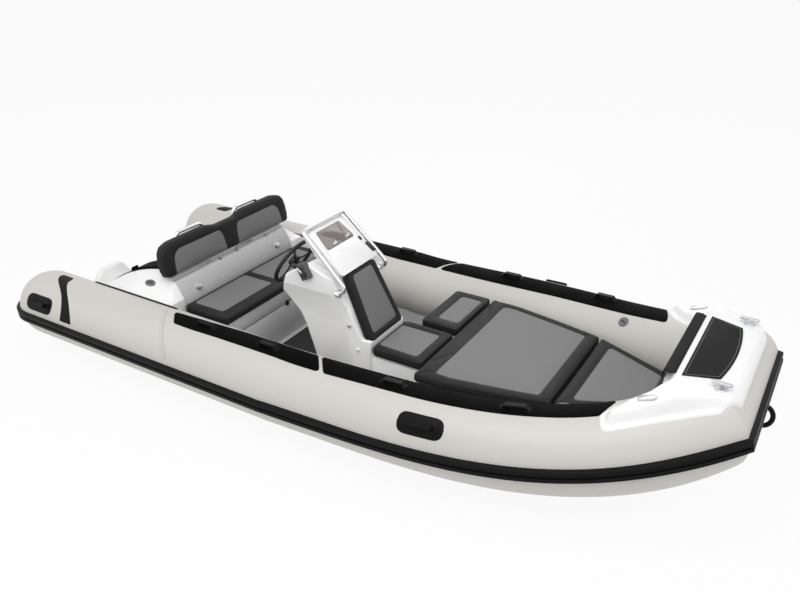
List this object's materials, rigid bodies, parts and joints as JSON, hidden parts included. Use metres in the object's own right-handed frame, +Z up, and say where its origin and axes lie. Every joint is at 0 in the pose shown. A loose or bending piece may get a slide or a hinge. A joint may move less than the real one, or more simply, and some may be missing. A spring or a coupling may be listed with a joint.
{
  "type": "inflatable rib boat",
  "caption": "Rigid inflatable boat with light grey tubes, a steering console set to starboard, a rear bench with a backrest and a cushioned bow sun pad.",
  "frame": {"origin": "on the centreline, amidships of the tubes, at the waterline", "axes": "+X to the bow, +Y to port, +Z up"},
  "size_m": [4.6901, 2.0342, 1.275],
  "materials": {
    "tube": "satin light grey coated fabric",
    "strake": "satin black",
    "pad_black": "matt black, fine non-slip texture",
    "handle": "satin black",
    "valve": "matt mid grey",
    "hull": "gloss white paint",
    "deck": "satin light grey",
    "gelcoat": "gloss white gelcoat",
    "cushion": "charcoal upholstery with mid-grey panels",
    "lid": "gloss white",
    "steel": "polished stainless steel",
    "window": "smoked acrylic",
    "wheel": "satin black",
    "dash": "matt dark grey",
    "step": "matt black non-slip"
  },
  "bodies": {
    "boat": {"backrest": "cushion", "backrest_loops": "steel", "bench_back": "gelcoat", "bench_base": "gelcoat", "bow_cap": "gelcoat", "bow_cushion": "cushion", "cleats": "steel", "console": "gelcoat", "dash": "dash", "deck": "deck", "front_cushion": "cushion", "gauges": "wheel", "grab_handles": "handle", "helm_hub": "wheel", "hull": "hull", "knobs": "steel", "lift_handles": "handle", "pad_base": "gelcoat", "rail": "steel", "seat_box": "gelcoat", "step_pads": "step", "stern_port": "gelcoat", "stern_starboard": "gelcoat", "strake_bow": "strake", "strake_port": "strake", "strake_starboard": "strake", "tow_ring": "handle", "transom": "hull", "tube_bow": "tube", "tube_pads": "pad_black", "tube_port": "tube", "tube_starboard": "tube", "valves": "valve", "window": "window", "windscreen": "gelcoat", "wing_base": "gelcoat", "wing_cushion": "cushion"},
    "steering": {"wheel": "wheel"},
    "bench_lid_body": {"bench_lid": "lid", "bench_cushion": "cushion", "bench_latch": "wheel"},
    "seat_lid_body": {"seat_lid": "lid", "seat_cushion": "cushion"},
    "pad_lid_body": {"pad_lid": "lid", "pad_cushion": "cushion"}
  },
  "joints": [
    {"name": "steering_turn", "type": "hinge", "parent": "boat", "child": "steering", "pos_m": [-0.437, -0.185, 0.752], "axis": [-0.866, 0, 0.5], "range_deg": [-756, 756]},
    {"name": "bench_lid_hinge", "type": "hinge", "parent": "boat", "child": "bench_lid_body", "pos_m": [-1.042, 0, 0.455], "axis": [0, -1, 0], "range_deg": [0, 75]},
    {"name": "seat_lid_hinge", "type": "hinge", "parent": "boat", "child": "seat_lid_body", "pos_m": [0.249, -0.185, 0.437], "axis": [0, -1, 0], "range_deg": [0, 80]},
    {"name": "pad_lid_hinge", "type": "hinge", "parent": "boat", "child": "pad_lid_body", "pos_m": [1.3565, 0, 0.455], "axis": [0, 1, 0], "range_deg": [0, 80]}
  ]
}
